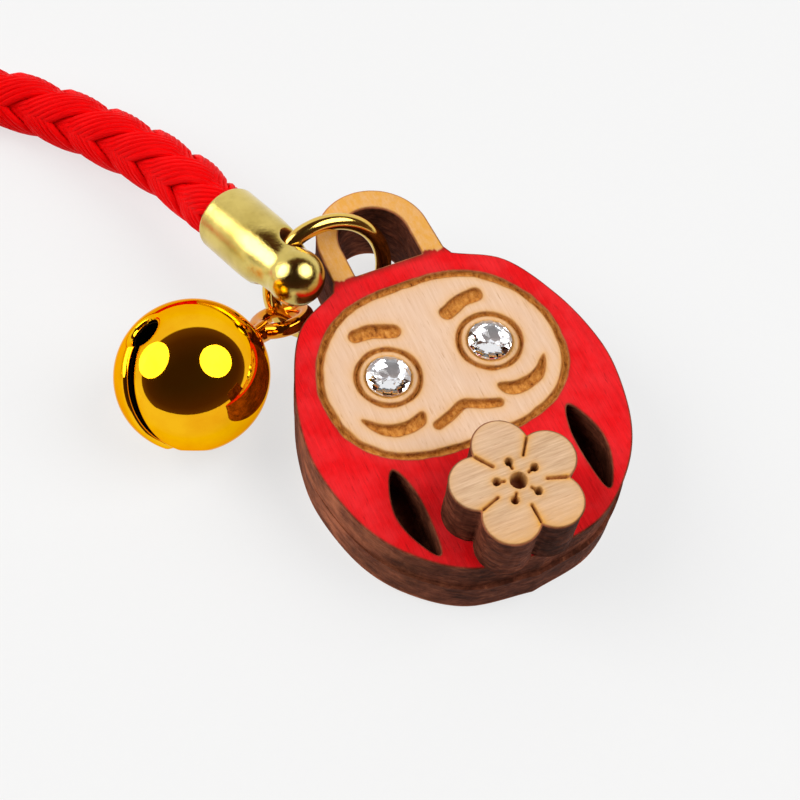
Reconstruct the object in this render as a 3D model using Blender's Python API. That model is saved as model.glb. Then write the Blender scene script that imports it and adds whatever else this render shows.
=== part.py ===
"""A wooden daruma charm lying on its back, on a strap with a jump ring, a bell and a braided cord.

Metres, +Z up. The origin is on the surface it lies on, at the middle of the rigid pieces' bounding box.
The charm is laid out in its own frame (X across, Y towards the hanging loop, Z out of the face) and
leans on the ring under its loop. The hardware is placed in the same frame as the origin.
"""

import math

import bmesh
import bpy
from mathutils import Matrix, Vector

MM = 0.001

# Where the charm's own frame stands: its back face meets the surface at the bottom edge.
CENTRE = (5.163, 0.822)
LEAN_DEG = 3.2
BOTTOM_Y = -16.3
BACK_DROP = 0.28  # how far the back board's lower outline stands out below the front board's

# Boards
PLY = 3.05
GLUE = 0.05
FACE_Z = 2 * PLY + GLUE
BODY_HALF = [
    (4.8, 8.0), (8.2, 6.0), (10.35, 2.0), (11.4, -2.0), (11.45, -5.5),
    (10.3, -9.9), (8.1, -13.1), (4.7, -15.5), (0.0, BOTTOM_Y),
]
LOOP_HALF_WIDTH = 4.35
LOOP_CENTRE_Y = 11.35
HOLE_RADIUS = 2.7
HOLE_BOTTOM_Y = 8.7

# Engraving
GROOVE_DEPTH = 0.4
FACE_HALF = [
    (0.0, 6.35), (3.0, 6.2), (5.4, 5.3), (7.3, 3.5), (8.4, 1.2),
    (8.65, -0.8), (8.15, -3.3), (6.5, -5.3), (3.8, -6.4), (0.0, -6.75),
]
FACE_GROOVE = 0.55
EYE_X = 4.0
EYE_RING = (2.08, 2.46)
SEAT_RADIUS = 1.72
SEAT_DEPTH = 0.3
BROW = [(2.15, 3.3), (3.5, 3.85), (4.75, 3.95)]
BROW_WIDTH = 1.15
CHEEK = [
    (7.1, -2.4), (6.9, -3.2), (6.2, -4.1), (5.2, -4.6), (4.1, -4.7),
    (3.1, -4.3), (2.95, -3.4), (4.4, -3.65), (5.8, -3.35),
]
MOUTH = [(-2.35, -4.8), (-1.2, -4.45), (0.0, -3.95), (1.2, -4.45), (2.35, -4.8)]
MOUTH_WIDTH = 0.75
ARM = [(6.75, -6.8), (7.6, -8.2), (7.95, -10.1), (7.5, -12.0), (6.45, -13.65), (6.05, -11.8), (6.05, -8.8)]

# Crystals
CRYSTAL_RADIUS = 1.6
CRYSTAL_HEIGHT = 1.25

# Plaque: a plum blossom with its stamens drilled
PLAQUE_AT = (-0.8, -12.6)
PLAQUE_HEIGHT = 4.7
PETAL_OUT = 2.65
PETAL_RADIUS = 2.0
STAMEN_OUT = 1.45
STAMEN_RADIUS = 0.3
HEART_RADIUS = 0.6
PIT_DEPTH = 1.2

# Jump ring
RING_CENTRE = (-3.84, 10.72, 4.97)
RING_NORMAL = (-0.0515, 0.9326, -0.3573)
RING_RADIUS = 4.65
WIRE_RADIUS = 0.62
RING_GAP_DEG = 2.0
RING_GAP_AT_DEG = 205.0

# Cord end: its hole sits on the ring here, and its tip points this way
HOLE_AT = (-7.33, 11.53, 7.51)
TIP_WAY = (0.244, -0.949, 0.198)
HOLE_WAY = (0.62, 0.31, 0.72)
END_LENGTH = 10.85
HOLE_FROM_MOUTH = 6.75
END_RADIUS = 2.62
TIP_RADIUS = 2.15
CROSS_RADIUS = 1.05
END_BORE = 2.33
END_BORE_DEPTH = 4.4

# Bell
BELL_CENTRE = (-16.3, 6.14, 5.47)
BELL_RADIUS = 5.45
BELL_STRETCH = 1.035  # along the line from the slot to the eye
BELL_WALL = 0.4
EYE_AT = (-8.05, 9.72, 3.05)
EYE_WAY = (-0.01, 0.58, 0.815)
EYE_MAJOR = 1.9
EYE_WIRE = 0.6
SLOT_END_WAY = (-0.495, 0.371, 0.786)
SLOT_WIDTH = 0.95
SLOT_HOLE_RADIUS = 1.25
SLOT_HALF_DEG = 62.0
PELLET_RADIUS = 1.3

# Cord
CORD_RADIUS = 2.2
CORD_ROUTE = [
    (-10.2, 23.0, 5.1), (-11.7, 27.1, 4.25), (-13.75, 31.1, 3.45), (-16.1, 34.8, 2.86),
    (-19.2, 38.6, 2.5), (-22.7, 41.6, 2.33), (-26.9, 43.6, 2.25), (-31.5, 44.0, 2.25),
    (-35.8, 41.7, 2.25), (-38.2, 37.2, 2.3), (-38.9, 32.0, 2.5), (-38.9, 27.5, 2.64),
]
FAR_WAY = (0.0, -1.0, 0.0)

BRASS = ((0.83, 0.68, 0.28), 0.16, 1.0)
BELL_GOLD = ((0.95, 0.58, 0.08), 0.06, 1.0)


def clear_scene():
    for obj in list(bpy.data.objects):
        bpy.data.objects.remove(obj, do_unlink=True)


def material(name, color, roughness, metallic=0.0):
    made = bpy.data.materials.new(name)
    made.use_nodes = True
    shader = made.node_tree.nodes["Principled BSDF"]
    shader.inputs["Base Color"].default_value = (*color, 1.0)
    shader.inputs["Roughness"].default_value = roughness
    shader.inputs["Metallic"].default_value = metallic
    return made


def smooth_through(points, steps, closed=False):
    """Points along a smooth curve through the given ones (Catmull-Rom), in any dimension."""
    count = len(points)
    if closed:
        ends = [points[-1], *points, points[0], points[1]]
        spans = count
    else:
        first = [2 * a - b for a, b in zip(points[0], points[1])]
        last = [2 * a - b for a, b in zip(points[-1], points[-2])]
        ends = [first, *points, last]
        spans = count - 1
    found = []
    for i in range(spans):
        p0, p1, p2, p3 = ends[i : i + 4]
        for k in range(steps):
            t = k / steps
            found.append(tuple(
                0.5 * (2 * b + (c - a) * t + (2 * a - 5 * b + 4 * c - d) * t * t + (3 * b - a - 3 * c + d) * t ** 3)
                for a, b, c, d in zip(p0, p1, p2, p3)
            ))
    if not closed:
        found.append(tuple(points[-1]))
    return found


def mirrored(half):
    """A closed outline from its right half, which runs from the middle to the middle or beside it."""
    left = [(-x, y) for x, y in reversed(half) if abs(x) > 1e-6]
    return half + left


def offset(outline, distance):
    """The closed outline moved outwards by a distance, for an outline that runs either way round."""
    count = len(outline)
    area = sum(
        outline[i][0] * outline[(i + 1) % count][1] - outline[(i + 1) % count][0] * outline[i][1]
        for i in range(count)
    )
    side = 1 if area > 0 else -1
    found = []
    for i in range(count):
        along = Vector(outline[(i + 1) % count]) - Vector(outline[i - 1])
        out = Vector((along.y, -along.x)).normalized() * side
        found.append((outline[i][0] + out.x * distance, outline[i][1] + out.y * distance))
    return found


def circle(x, y, radius, count, start=0.0, sweep=360.0):
    full = abs(sweep) >= 360
    steps = count if full else count - 1
    return [
        (
            x + radius * math.cos(math.radians(start + sweep * i / steps)),
            y + radius * math.sin(math.radians(start + sweep * i / steps)),
        )
        for i in range(count)
    ]


def blossom(steps=8):
    """The outline of five round petals that overlap at the middle, the first pointing along Y."""
    found = []
    for petal in range(5):
        for k in range(2 * steps):
            turn = math.radians(-36 + 36 * k / steps)
            across = PETAL_OUT * math.sin(turn)
            reach = PETAL_OUT * math.cos(turn) + math.sqrt(PETAL_RADIUS ** 2 - across ** 2)
            angle = math.radians(90 + 72 * petal) + turn
            found.append((reach * math.cos(angle), reach * math.sin(angle)))
    return found


def stroke(route, width, steps=5, end_steps=6):
    """A closed outline of a round-ended stroke along a smooth line."""
    line = [Vector(p) for p in smooth_through(route, steps)]
    sides = []
    for i, point in enumerate(line):
        along = (line[min(i + 1, len(line) - 1)] - line[max(i - 1, 0)]).normalized()
        sides.append((point, Vector((-along.y, along.x)) * width / 2))
    found = [tuple(point + side) for point, side in sides]
    point, side = sides[-1]
    for k in range(1, end_steps):
        found.append(tuple(point + Matrix.Rotation(-math.pi * k / end_steps, 2) @ side))
    found += [tuple(point - side) for point, side in reversed(sides)]
    point, side = sides[0]
    for k in range(1, end_steps):
        found.append(tuple(point + Matrix.Rotation(-math.pi * k / end_steps, 2) @ -side))
    return found


def new_object(name, bm, look=None, smooth_deg=None):
    bmesh.ops.recalc_face_normals(bm, faces=bm.faces)
    mesh = bpy.data.meshes.new(name)
    bm.to_mesh(mesh)
    bm.free()
    if smooth_deg is not None:
        mesh.shade_smooth()
        mesh.set_sharp_from_angle(angle=math.radians(smooth_deg))
    obj = bpy.data.objects.new(name, mesh)
    bpy.context.scene.collection.objects.link(obj)
    if look is not None:
        mesh.materials.append(look)
    return obj


def prism(name, outline, low, high, look=None):
    """The outline in millimetres, extruded from one height to the other."""
    bm = bmesh.new()
    face = bm.faces.new([bm.verts.new((x * MM, y * MM, low * MM)) for x, y in outline])
    grown = bmesh.ops.extrude_face_region(bm, geom=[face])
    verts = [item for item in grown["geom"] if isinstance(item, bmesh.types.BMVert)]
    bmesh.ops.translate(bm, verts=verts, vec=(0, 0, (high - low) * MM))
    return new_object(name, bm, look)


def turned(name, profile, count, look=None, smooth_deg=40):
    """The profile of (radius, height) in millimetres, turned about Z. It starts and ends on the axis."""
    bm = bmesh.new()
    rows = []
    for radius, height in profile:
        if radius < 1e-6:
            rows.append([bm.verts.new((0, 0, height * MM))])
            continue
        rows.append([
            bm.verts.new((x * MM, y * MM, height * MM)) for x, y in circle(0, 0, radius, count)
        ])
    for low, high in zip(rows, rows[1:]):
        for i in range(count):
            a, b = low[i % len(low)], low[(i + 1) % len(low)]
            c, d = high[(i + 1) % len(high)], high[i % len(high)]
            corners = list(dict.fromkeys((a, b, c, d)))
            bm.faces.new(corners)
    return new_object(name, bm, look, smooth_deg)


def arc_profile(radius, start_deg, end_deg, steps, z=0.0):
    """Points of a circle's arc as (radius, height), by angle above the horizontal."""
    return [
        (
            max(radius * math.cos(math.radians(start_deg + (end_deg - start_deg) * i / steps)), 0.0),
            z + radius * math.sin(math.radians(start_deg + (end_deg - start_deg) * i / steps)),
        )
        for i in range(steps + 1)
    ]


def torus(name, major, minor, look, around, across, start_deg=0.0, sweep_deg=360.0):
    """A ring of round wire about Z. With less than a full sweep its two ends are flat."""
    bm = bmesh.new()
    closed = sweep_deg >= 360
    stations = around if closed else around + 1
    rows = []
    for i in range(stations):
        turn = math.radians(start_deg + sweep_deg * i / around)
        rows.append([
            bm.verts.new((
                (major + minor * math.cos(2 * math.pi * k / across)) * math.cos(turn) * MM,
                (major + minor * math.cos(2 * math.pi * k / across)) * math.sin(turn) * MM,
                minor * math.sin(2 * math.pi * k / across) * MM,
            ))
            for k in range(across)
        ])
    pairs = list(zip(rows, rows[1:])) + ([(rows[-1], rows[0])] if closed else [])
    for a, b in pairs:
        for k in range(across):
            bm.faces.new((a[k], a[(k + 1) % across], b[(k + 1) % across], b[k]))
    if not closed:
        bm.faces.new(rows[0])
        bm.faces.new(rows[-1])
    return new_object(name, bm, look, 40)


def boolean(target, tool, operation="DIFFERENCE"):
    tool.hide_render = True
    tool.display_type = "WIRE"
    made = target.modifiers.new(tool.name, "BOOLEAN")
    made.operation = operation
    made.object = tool
    made.solver = "EXACT"


def frame_matrix(origin, z_axis, x_hint=(0, 0, 1)):
    """The matrix that puts local Z along z_axis and local X as near as it can to x_hint."""
    z = Vector(z_axis).normalized()
    x = Vector(x_hint) - z * Vector(x_hint).dot(z)
    x.normalize()
    y = z.cross(x)
    turn = Matrix((x, y, z)).transposed().to_4x4()
    return Matrix.Translation(placed(origin)) @ turn


def placed(point):
    """A hardware point in millimetres, as metres from the part's origin."""
    return Vector((point[0] + CENTRE[0], point[1] + CENTRE[1], point[2])) * MM


def add_charm():
    frame = bpy.data.objects.new("charm_frame", None)
    bpy.context.scene.collection.objects.link(frame)
    lean = math.radians(LEAN_DEG)
    frame.location = placed((0, 0, (BACK_DROP - BOTTOM_Y) * math.sin(lean)))
    frame.rotation_euler = (lean, 0, 0)

    body = smooth_through(BODY_HALF, 5)
    loop = circle(0, LOOP_CENTRE_Y, LOOP_HALF_WIDTH, 15, 0, 90)
    half = list(reversed(body)) + [(4.45, 8.75)] + loop
    outline = mirrored(half)
    hole = [(HOLE_RADIUS, HOLE_BOTTOM_Y)]
    hole += circle(0, LOOP_CENTRE_Y, HOLE_RADIUS, 19, 0, 180)
    hole += [(-HOLE_RADIUS, HOLE_BOTTOM_Y)]

    plain = material("wood_side", (0.20, 0.10, 0.06), 0.8)
    red = material("wood_red", (0.75, 0.03, 0.03), 0.6)
    dropped = [(x, y - BACK_DROP * min(max((8 - y) / 6, 0), 1)) for x, y in outline]
    back = prism("back_board", dropped, 0, PLY, plain)
    front = prism("front_board", outline, PLY + GLUE, FACE_Z, red)
    through = prism("hole_cutter", hole, -1, FACE_Z + 1)
    boolean(back, through)
    boolean(front, through)

    low, high = FACE_Z - GROOVE_DEPTH, FACE_Z + 1
    face = mirrored(smooth_through(FACE_HALF, 4))
    groove = prism("face_cutter", offset(face, FACE_GROOVE), low, high)
    boolean(groove, prism("face_core", face, low - 1, high + 1))
    cutters = [groove]
    for side in (-1, 1):
        name = "left" if side < 0 else "right"
        x = side * EYE_X
        ring = prism(f"{name}_eye_cutter", circle(x, 0, EYE_RING[1], 32), low, high)
        boolean(ring, prism(f"{name}_eye_core", circle(x, 0, EYE_RING[0], 32), low - 1, high + 1))
        seat = prism(f"{name}_seat_cutter", circle(x, 0, SEAT_RADIUS, 28), FACE_Z - SEAT_DEPTH, high)
        brow = [(side * px, py) for px, py in BROW]
        cheek = [(side * px, py) for px, py in smooth_through(CHEEK, 2, True)]
        arm = [(side * px, py) for px, py in smooth_through(ARM, 4, True)]
        cutters += [
            ring,
            seat,
            prism(f"{name}_brow_cutter", stroke(brow, BROW_WIDTH, 4, 5), low, high),
            prism(f"{name}_cheek_cutter", cheek, low, high),
            prism(f"{name}_arm_cutter", arm, -1, high),
        ]
    cutters.append(prism("mouth_cutter", stroke(MOUTH, MOUTH_WIDTH, 3, 4), low, high))
    for cutter in cutters:
        boolean(front, cutter)

    glass = material("crystal", (0.9, 0.92, 0.95), 0.02)
    crystals = []
    for name, x in (("crystal_left", -EYE_X), ("crystal_right", EYE_X)):
        bm = bmesh.new()
        tiers = (
            (CRYSTAL_RADIUS * 0.94, 0.0, 16, 0), (CRYSTAL_RADIUS, 0.28, 16, 0),
            (CRYSTAL_RADIUS * 0.8, 0.8, 8, 22.5), (CRYSTAL_RADIUS * 0.5, CRYSTAL_HEIGHT, 8, 0),
        )
        for radius, height, count, turn in tiers:
            for px, py in circle(0, 0, radius, count, turn):
                bm.verts.new((px * MM, py * MM, height * MM))
        bmesh.ops.convex_hull(bm, input=bm.verts)
        crystal = new_object(name, bm, glass)
        crystal.location = (x * MM, 0, (FACE_Z - SEAT_DEPTH + GLUE) * MM)
        crystals.append(crystal)

    light = material("plaque_wood", (0.72, 0.52, 0.33), 0.7)
    plaque = prism("plaque", blossom(), 0, PLAQUE_HEIGHT, light)
    plaque.location = (PLAQUE_AT[0] * MM, PLAQUE_AT[1] * MM, (FACE_Z + GLUE) * MM)
    stamens = circle(0, 0, STAMEN_OUT, 5, 90)
    for i, (x, y) in enumerate([(0, 0), *stamens]):
        radius = HEART_RADIUS if i == 0 else STAMEN_RADIUS
        pit = prism(f"pit_cutter_{i}", circle(x, y, radius, 16), PLAQUE_HEIGHT - PIT_DEPTH, PLAQUE_HEIGHT + 1)
        pit.parent = plaque
        boolean(plaque, pit)

    for obj in [back, front, through, plaque, *crystals]:
        obj.parent = frame
    for obj in bpy.data.objects:
        if obj.name.endswith(("_cutter", "_core")) and obj.parent is None:
            obj.parent = frame


def add_ring():
    brass = material("ring_brass", *BRASS)
    ring = torus(
        "jump_ring", RING_RADIUS, WIRE_RADIUS, brass, 48, 10,
        RING_GAP_AT_DEG + RING_GAP_DEG / 2, 360 - RING_GAP_DEG,
    )
    ring.matrix_world = frame_matrix(RING_CENTRE, RING_NORMAL, (1, 0, 0))


def add_cord_end():
    """The cord's brass end: local Z runs from its mouth to its tip, and local X through its cross hole."""
    brass = material("cord_end_brass", *BRASS)
    taper = [(END_RADIUS, 0.15), (END_RADIUS, 4.6), (2.52, 5.8), (2.3, 7.0), (TIP_RADIUS, 7.8)]
    tip = arc_profile(TIP_RADIUS, 0, 90, 6, END_LENGTH - TIP_RADIUS)
    profile = [(0, END_BORE_DEPTH), (END_BORE, END_BORE_DEPTH), (END_BORE, 0), (END_RADIUS - 0.12, 0)]
    shapes = []
    for name in ("cord_end", "far_cord_end"):
        end = turned(name, profile + taper + tip, 28, brass)
        drill = prism(f"{name}_drill", circle(0, 0, CROSS_RADIUS, 48), -5, 5)
        drill.matrix_world = Matrix.Translation((0, 0, HOLE_FROM_MOUTH * MM)) @ Matrix.Rotation(math.pi / 2, 4, "Y")
        boolean(end, drill)
        drill.parent = end
        shapes.append(end)
    way = Vector(TIP_WAY).normalized()
    mouth = Vector(HOLE_AT) - way * HOLE_FROM_MOUTH
    shapes[0].matrix_world = frame_matrix(mouth, way, HOLE_WAY)
    far = Vector(CORD_ROUTE[-1])
    far.z = END_RADIUS + 0.02
    shapes[1].matrix_world = frame_matrix(far, FAR_WAY, (0, 0, 1))
    return mouth, way


def add_bell():
    gold = material("bell_gold", *BELL_GOLD)
    centre = Vector(BELL_CENTRE)
    axis = (Vector(EYE_AT) - centre).normalized()
    place = frame_matrix(centre, axis, SLOT_END_WAY)
    stretched = place @ Matrix.Diagonal((1, 1, BELL_STRETCH, 1))
    outer = arc_profile(BELL_RADIUS, -90, 90, 24)
    shell = turned("bell_shell", outer, 40, gold)
    hollow = turned("bell_hollow", arc_profile(BELL_RADIUS - BELL_WALL, -90, 90, 20), 32)
    # The slot lies across the pole that faces away from the eye, with a round hole at each end.
    turn = math.radians(SLOT_HALF_DEG)
    span = BELL_RADIUS + 1
    fan = [(0.0, 0.0)] + [
        (span * math.sin(-turn + 2 * turn * i / 16), -span * math.cos(-turn + 2 * turn * i / 16))
        for i in range(17)
    ]
    slot = prism("bell_slot", fan, -SLOT_WIDTH / 2, SLOT_WIDTH / 2)
    slot.matrix_world = Matrix.Rotation(math.pi / 2, 4, "X")
    boolean(shell, hollow)
    boolean(shell, slot)
    tools = [hollow, slot]
    for side in (-1, 1):
        drill = prism(f"bell_slot_end_{side + 1}", circle(0, 0, SLOT_HOLE_RADIUS, 20), 2, BELL_RADIUS + 1)
        drill.matrix_world = Matrix.Rotation(side * turn, 4, "Y") @ Matrix.Rotation(math.pi, 4, "X")
        boolean(shell, drill)
        tools.append(drill)
    for tool in tools:
        tool.matrix_world = stretched @ tool.matrix_world
    shell.matrix_world = stretched

    reach = (Vector(EYE_AT) - centre).length
    eye = torus("bell_eye", EYE_MAJOR, EYE_WIRE, material("eye_gold", *BELL_GOLD), 28, 10)
    eye.matrix_world = frame_matrix(EYE_AT, EYE_WAY, axis)
    neck_top = reach - EYE_MAJOR
    foot = BELL_RADIUS * BELL_STRETCH + 0.05
    neck = turned(
        "bell_neck",
        [(0, foot), (1.5, foot), (1.35, foot + 0.35), (0.8, foot + 0.7), (0.7, neck_top), (0, neck_top)],
        20,
    )
    neck.matrix_world = place
    boolean(eye, neck, "UNION")

    steel = material("steel", (0.6, 0.6, 0.6), 0.3, 1.0)
    pellet = turned("bell_pellet", arc_profile(PELLET_RADIUS, -90, 90, 8), 16, steel)
    drop = BELL_RADIUS - BELL_WALL - PELLET_RADIUS - 0.15
    pellet.location = placed((BELL_CENTRE[0], BELL_CENTRE[1], BELL_CENTRE[2] - drop))


def add_cord(mouth, way):
    red = material("cord_red", (0.65, 0.01, 0.015), 0.8)
    start = mouth + way * (END_BORE_DEPTH - 0.3)
    far_way = Vector(FAR_WAY).normalized()
    finish = Vector(CORD_ROUTE[-1]) + far_way * (END_BORE_DEPTH - 0.3)
    route = [start, mouth, mouth - way * 3.0, *[Vector(p) for p in CORD_ROUTE], finish]
    points = smooth_through([tuple(p) for p in route], 2)
    tube("cord", points, CORD_RADIUS, red, 4)


def tube(name, points, radius, look, resolution):
    data = bpy.data.curves.new(name, "CURVE")
    data.dimensions = "3D"
    data.bevel_depth = radius * MM
    data.bevel_resolution = resolution
    data.use_fill_caps = True
    line = data.splines.new("POLY")
    line.points.add(len(points) - 1)
    for point, at in zip(line.points, points):
        point.co = (*placed(at), 1.0)
    data.materials.append(look)
    obj = bpy.data.objects.new(name, data)
    bpy.context.scene.collection.objects.link(obj)
    return obj


clear_scene()
add_charm()
add_ring()
mouth, way = add_cord_end()
add_bell()
add_cord(mouth, way)
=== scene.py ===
import math

import bmesh
import bpy
import numpy as np
from mathutils import Matrix, Vector


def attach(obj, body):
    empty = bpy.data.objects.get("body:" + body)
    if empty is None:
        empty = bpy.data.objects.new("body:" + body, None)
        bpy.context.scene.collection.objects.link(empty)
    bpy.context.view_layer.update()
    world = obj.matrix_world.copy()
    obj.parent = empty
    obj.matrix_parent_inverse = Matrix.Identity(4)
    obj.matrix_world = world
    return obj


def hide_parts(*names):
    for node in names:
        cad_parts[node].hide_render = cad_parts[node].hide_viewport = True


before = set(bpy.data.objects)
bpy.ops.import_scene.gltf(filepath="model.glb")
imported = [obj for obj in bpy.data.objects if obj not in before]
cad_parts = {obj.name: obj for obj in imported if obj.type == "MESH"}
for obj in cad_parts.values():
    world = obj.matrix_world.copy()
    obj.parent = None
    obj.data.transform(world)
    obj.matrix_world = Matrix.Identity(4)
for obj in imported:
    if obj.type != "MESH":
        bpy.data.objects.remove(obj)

# Lengths here are millimetres unless a name says otherwise. Places repeat part.py's.
MM = 0.001
CENTRE = (5.163, 0.822)
LEAN = math.radians(3.2)
BOTTOM_Y = -16.3
BACK_DROP = 0.28

PLY = 3.05
GLUE = 0.05
FACE_Z = 2 * PLY + GLUE
BODY_HALF = [
    (4.8, 8.0), (8.2, 6.0), (10.35, 2.0), (11.4, -2.0), (11.45, -5.5),
    (10.3, -9.9), (8.1, -13.1), (4.7, -15.5), (0.0, BOTTOM_Y),
]
LOOP_HALF_WIDTH = 4.35
LOOP_CENTRE_Y = 11.35
HOLE_RADIUS = 2.7
HOLE_BOTTOM_Y = 8.7
GROOVE_DEPTH = 0.4
FACE_HALF = [
    (0.0, 6.35), (3.0, 6.2), (5.4, 5.3), (7.3, 3.5), (8.4, 1.2),
    (8.65, -0.8), (8.15, -3.3), (6.5, -5.3), (3.8, -6.4), (0.0, -6.75),
]
FACE_GROOVE = 0.55
EYE_X = 4.0
EYE_RING = (2.08, 2.46)
SEAT_RADIUS = 1.72
SEAT_DEPTH = 0.3
BROW = [(2.15, 3.3), (3.5, 3.85), (4.75, 3.95)]
BROW_WIDTH = 1.15
CHEEK = [
    (7.1, -2.4), (6.9, -3.2), (6.2, -4.1), (5.2, -4.6), (4.1, -4.7),
    (3.1, -4.3), (2.95, -3.4), (4.4, -3.65), (5.8, -3.35),
]
MOUTH = [(-2.35, -4.8), (-1.2, -4.45), (0.0, -3.95), (1.2, -4.45), (2.35, -4.8)]
MOUTH_WIDTH = 0.75
ARM = [(6.75, -6.8), (7.6, -8.2), (7.95, -10.1), (7.5, -12.0), (6.45, -13.65), (6.05, -11.8), (6.05, -8.8)]
STAIN_TOP_Y = 8.45

CRYSTAL_RADIUS = 1.6
CRYSTAL_FLAT_RADIUS = 1.45
CRYSTAL_TIERS = [  # radius, height, corners, turn in degrees
    (0.80, 1.25, 8, 0.0), (1.16, 1.0, 8, 22.5), (1.6, 0.44, 16, 11.25), (1.6, 0.30, 16, 11.25),
]
CRYSTAL_TWIST = 7  # degrees per millimetre, so that the two stones differ

PLAQUE_AT = (-0.8, -12.6)
PLAQUE_HEIGHT = 4.7
PETAL_OUT = 2.65
PETAL_RADIUS = 2.0
STAMEN_OUT = 1.45
STAMEN_RADIUS = 0.3
HEART_RADIUS = 0.6
PIT_DEPTH = 1.2

RING_CENTRE = (-3.84, 10.72, 4.97)
RING_NORMAL = (-0.0515, 0.9326, -0.3573)
RING_RADIUS = 4.65
WIRE_RADIUS = 0.62
RING_GAP_DEG = 2.0
RING_GAP_AT_DEG = 205.0

HOLE_AT = (-7.33, 11.53, 7.51)
TIP_WAY = (0.244, -0.949, 0.198)
HOLE_WAY = (0.62, 0.31, 0.72)
HOLE_FROM_MOUTH = 6.75
CROSS_RADIUS = 1.05
END_BORE_DEPTH = 4.4
END_RADIUS = 2.62
END_PROFILE = [
    (2.62, 0.14), (2.62, 2.4), (2.61, 4.4), (2.51, 5.6), (2.27, 6.7), (2.10, 7.5), (2.07, 8.0), (2.12, 8.4),
]
END_BORE_PROFILE = [
    (0.0, 4.4), (1.2, 4.4), (2.2, 4.4), (2.3, 4.3), (2.33, 2.0), (2.33, 0.15), (2.36, 0.05), (2.42, 0.0),
    (2.52, 0.0), (2.59, 0.05),
]
TIP_RADIUS = 2.15
TIP_CENTRE_Z = 8.7
OUTSIDE_FROM = 8  # how far along the profile only the outside is left

BELL_CENTRE = (-16.3, 6.14, 5.47)
BELL_RADIUS = 5.45
BELL_STRETCH = 1.035
BELL_WALL = 0.4
EYE_AT = (-8.05, 9.72, 3.05)
EYE_WAY = (-0.01, 0.58, 0.815)
EYE_MAJOR = 1.9
EYE_WIRE = 0.6
SLOT_END_WAY = (-0.495, 0.371, 0.786)
SLOT_WIDTH = 0.95
SLOT_HOLE_RADIUS = 1.25
SLOT_HALF_DEG = 62.0
PELLET_RADIUS = 1.3

CORD_ROUTE = [
    (-10.2, 23.0, 5.1), (-11.7, 27.1, 4.25), (-13.75, 31.1, 3.45), (-16.1, 34.8, 2.86),
    (-19.2, 38.6, 2.5), (-22.7, 41.6, 2.33), (-26.9, 43.6, 2.25), (-31.5, 44.0, 2.25),
    (-35.8, 41.7, 2.25), (-38.2, 37.2, 2.3), (-38.9, 32.0, 2.5), (-38.9, 27.5, 2.64),
]
FAR_WAY = (0.0, -1.0, 0.0)

CAMERA_AT = (-31.47, -51.117, 95.398)
CAMERA_RIGHT = (0.90631, -0.41967, 0.04975)
CAMERA_UP = (0.33144, 0.77887, 0.53245)
LAMPS = {"lamp_left": (-0.692, 0.332, 0.641), "lamp_right": (0.535, -0.305, 0.787)}
LAMP_DISTANCE_M = 0.45
LAMP_RADIUS_M = 0.19
LAMP_WATTS = 1.75
SHEET_HALF = 280
SHEET_Z = -0.002
SHEET_GLOW = 0.685
SHEET_GREY = 0.19
DARK_WAY = (-0.10, -0.46, 0.88)
DARK_SPREAD = (0.45, 1, 1)
ROOM = [
    (0.33, (0.92, 0.92, 0.93)), (0.36, (0.13, 0.065, 0.04)), (0.62, (0.065, 0.028, 0.020)),
    (0.95, (0.035, 0.020, 0.018)),
]


# Shapes ---------------------------------------------------------------------------------------

def placed(point):
    """A hardware point, as metres from the part's origin."""
    return Vector((point[0] + CENTRE[0], point[1] + CENTRE[1], point[2])) * MM


def frame_matrix(origin, z_axis, x_hint=(0, 0, 1)):
    """The matrix that puts local Z along z_axis and local X as near as it can to x_hint."""
    z = Vector(z_axis).normalized()
    x = (Vector(x_hint) - z * Vector(x_hint).dot(z)).normalized()
    turn = Matrix((x, z.cross(x), z)).transposed().to_4x4()
    return Matrix.Translation(placed(origin)) @ turn


LIFT = (BACK_DROP - BOTTOM_Y) * math.sin(LEAN)
CHARM = Matrix.Translation(placed((0, 0, LIFT))) @ Matrix.Rotation(LEAN, 4, "X")
HERE = Matrix.Translation(placed((0, 0, 0)))


def to_part(points, matrix):
    """Points in millimetres, as metres in the part's frame."""
    turn = np.array(matrix.to_3x3())
    return np.asarray(points) * MM @ turn.T + np.array(matrix.translation)


def smooth_through(points, steps, closed=False):
    """Points along a smooth curve through the given ones (Catmull-Rom), in any dimension."""
    if closed:
        ends = [points[-1], *points, points[0], points[1]]
        spans = len(points)
    else:
        first = [2 * a - b for a, b in zip(points[0], points[1])]
        last = [2 * a - b for a, b in zip(points[-1], points[-2])]
        ends = [first, *points, last]
        spans = len(points) - 1
    found = []
    for i in range(spans):
        p0, p1, p2, p3 = np.array(ends[i:i + 4], float)
        for t in np.arange(steps) / steps:
            found.append(tuple(
                0.5 * (2 * p1 + (p2 - p0) * t + (2 * p0 - 5 * p1 + 4 * p2 - p3) * t * t
                       + (3 * p1 - p0 - 3 * p2 + p3) * t ** 3)
            ))
    if not closed:
        found.append(tuple(points[-1]))
    return found


def mirrored(half):
    return half + [(-x, y) for x, y in reversed(half) if abs(x) > 1e-6]


def arc(x, y, radius, count, start, sweep):
    turns = np.radians(start + sweep * np.arange(count) / (count - 1))
    return [(x + radius * math.cos(t), y + radius * math.sin(t)) for t in turns]


def line_distance(x, y, line, closed=False):
    """Distance from arrays of points to a line of points."""
    ends = list(zip(line, line[1:] + line[:1])) if closed else list(zip(line, line[1:]))
    best = np.full(np.shape(x), 1e9)
    for (ax, ay), (bx, by) in ends:
        ex, ey = bx - ax, by - ay
        length2 = max(ex * ex + ey * ey, 1e-12)
        t = np.clip(((x - ax) * ex + (y - ay) * ey) / length2, 0, 1)
        best = np.minimum(best, (x - ax - t * ex) ** 2 + (y - ay - t * ey) ** 2)
    return np.sqrt(best)


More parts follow.
